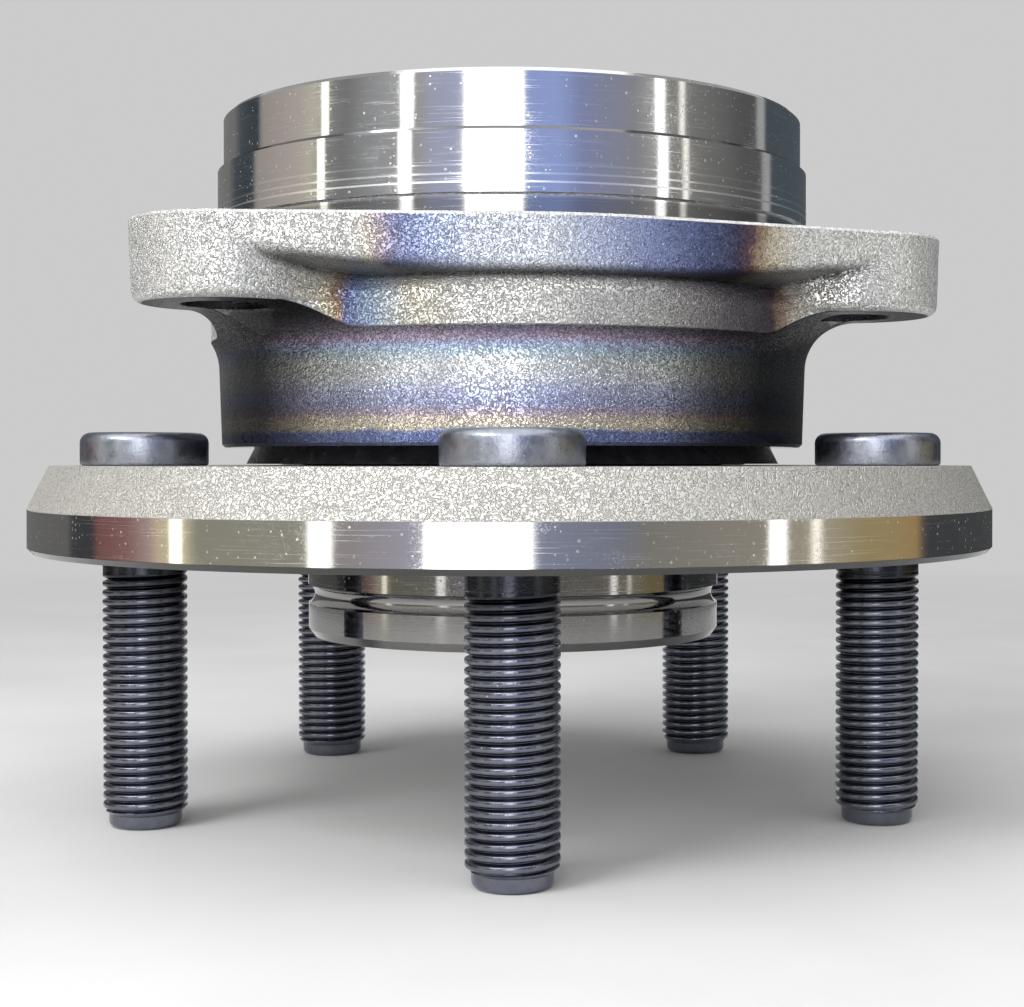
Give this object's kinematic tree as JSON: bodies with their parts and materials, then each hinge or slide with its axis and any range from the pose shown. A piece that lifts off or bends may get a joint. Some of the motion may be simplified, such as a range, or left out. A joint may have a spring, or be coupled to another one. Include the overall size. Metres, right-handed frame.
{
  "type": "wheel hub unit",
  "caption": "Driven wheel hub unit: wheel flange with press-in studs, lobed knuckle flange with a ground spigot, sealed angular-contact ball bearing and a splined bore.",
  "frame": {"origin": "centre of the wheel mounting face, on the axis of rotation", "axes": "+Z along the axis of rotation, inboard towards the knuckle; the studs point to -Z and the first stud lies on -Y; +X completes the frame"},
  "size_m": [0.1642, 0.1642, 0.1179],
  "materials": {
    "ring_steel": "satin",
    "hub_steel": "satin",
    "bearing_steel": "polished",
    "stud_steel": "satin",
    "seal_steel": "satin",
    "seal_rubber": "satin",
    "encoder_rubber": "matte",
    "cage_polymer": "matte"
  },
  "bodies": {
    "outer_ring": {"outer_ring": "ring_steel", "outboard_seal_case": "seal_steel", "outboard_seal_lip": "seal_rubber", "inboard_seal_case": "seal_steel", "inboard_seal_lip": "seal_rubber"},
    "hub": {"hub_spindle": "hub_steel", "inner_ring": "bearing_steel", "inboard_slinger": "seal_steel", "encoder_ring": "encoder_rubber", "wheel_stud_1": "stud_steel", "wheel_stud_2": "stud_steel", "wheel_stud_3": "stud_steel", "wheel_stud_4": "stud_steel", "wheel_stud_5": "stud_steel"},
    "outboard_ball_set": {"outboard_cage": "cage_polymer", "outboard_ball_01": "bearing_steel", "outboard_ball_02": "bearing_steel", "outboard_ball_03": "bearing_steel", "outboard_ball_04": "bearing_steel", "outboard_ball_05": "bearing_steel", "outboard_ball_06": "bearing_steel", "outboard_ball_07": "bearing_steel", "outboard_ball_08": "bearing_steel", "outboard_ball_09": "bearing_steel", "outboard_ball_10": "bearing_steel", "outboard_ball_11": "bearing_steel", "outboard_ball_12": "bearing_steel", "outboard_ball_13": "bearing_steel", "outboard_ball_14": "bearing_steel", "outboard_ball_15": "bearing_steel"},
    "inboard_ball_set": {"inboard_cage": "cage_polymer", "inboard_ball_01": "bearing_steel", "inboard_ball_02": "bearing_steel", "inboard_ball_03": "bearing_steel", "inboard_ball_04": "bearing_steel", "inboard_ball_05": "bearing_steel", "inboard_ball_06": "bearing_steel", "inboard_ball_07": "bearing_steel", "inboard_ball_08": "bearing_steel", "inboard_ball_09": "bearing_steel", "inboard_ball_10": "bearing_steel", "inboard_ball_11": "bearing_steel", "inboard_ball_12": "bearing_steel", "inboard_ball_13": "bearing_steel", "inboard_ball_14": "bearing_steel", "inboard_ball_15": "bearing_steel"}
  },
  "joints": [
    {"name": "hub_spin", "type": "hinge", "parent": "outer_ring", "child": "hub", "pos_m": [0, 0, 0.045], "axis": [0, 0, 1], "continuous": true},
    {"name": "outboard_balls_orbit", "type": "hinge", "parent": "outer_ring", "child": "outboard_ball_set", "pos_m": [0, 0, 0.0315], "axis": [0, 0, 1], "continuous": true},
    {"name": "inboard_balls_orbit", "type": "hinge", "parent": "outer_ring", "child": "inboard_ball_set", "pos_m": [0, 0, 0.0585], "axis": [0, 0, 1], "continuous": true}
  ],
  "couplings": [
    {"joint": "outboard_balls_orbit", "follows": "hub_spin", "ratio": 0.4324},
    {"joint": "inboard_balls_orbit", "follows": "hub_spin", "ratio": 0.4324}
  ]
}
